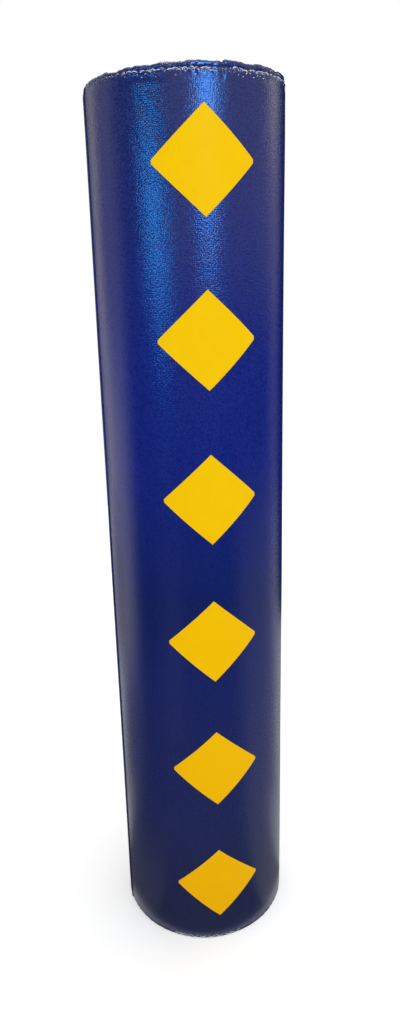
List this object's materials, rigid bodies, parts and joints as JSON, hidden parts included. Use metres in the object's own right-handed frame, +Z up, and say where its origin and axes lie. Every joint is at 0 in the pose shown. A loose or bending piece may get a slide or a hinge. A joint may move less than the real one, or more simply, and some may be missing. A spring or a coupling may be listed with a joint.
{
  "type": "goal post pad",
  "caption": "Tall round foam pad in a coated-fabric cover that opens along its back, closes round a goal post with a hook-and-loop flap, and stands on its base.",
  "frame": {"origin": "on the pad's axis, at the face it stands on", "axes": "+Z up along the pad's axis; -Y is the front with its decals; +Y is the slit at the back; +X is to the right seen from the front"},
  "size_m": [0.372, 0.3762, 1.8],
  "materials": {
    "cover": "PVC-coated woven polyester, royal blue, semi-gloss with a fine woven emboss",
    "foam": "closed-cell polyethylene foam, matte, cut faces",
    "decal": "heat-applied vinyl film, yellow, satin",
    "hook_tape": "woven nylon tape with small hooks",
    "loop_tape": "knitted nylon tape with a loop pile"
  },
  "bodies": {
    "front_segment": {"front_foam": "foam", "front_skin": "cover", "front_lining": "cover", "front_top_cap": "cover", "front_bottom_cap": "cover", "decal_1": "decal", "decal_2": "decal", "decal_3": "decal", "decal_4": "decal", "decal_5": "decal", "decal_6": "decal"},
    "left_wing": {"left_foam": "foam", "left_skin": "cover", "left_lining": "cover", "left_top_cap": "cover", "left_bottom_cap": "cover", "flap_hem": "cover"},
    "right_wing": {"right_foam": "foam", "right_skin": "cover", "right_lining": "cover", "right_top_cap": "cover", "right_bottom_cap": "cover", "loop_tape": "loop_tape"},
    "closure_flap": {"closure_flap": "cover", "hook_tape": "hook_tape"}
  },
  "joints": [
    {"name": "left_wing_open", "type": "hinge", "parent": "front_segment", "child": "left_wing", "pos_m": [-0.18317, 0.0323, 0.9], "axis": [0, 0, 1], "range_deg": [0, 60]},
    {"name": "right_wing_open", "type": "hinge", "parent": "front_segment", "child": "right_wing", "pos_m": [0.18317, 0.0323, 0.9], "axis": [0, 0, -1], "range_deg": [0, 60]},
    {"name": "flap_open", "type": "hinge", "parent": "left_wing", "child": "closure_flap", "pos_m": [-0.01222, 0.18911, 0.9], "axis": [0, 0, 1], "range_deg": [0, 170]}
  ],
  "couplings": [
    {"joint": "right_wing_open", "follows": "left_wing_open", "ratio": 1}
  ]
}
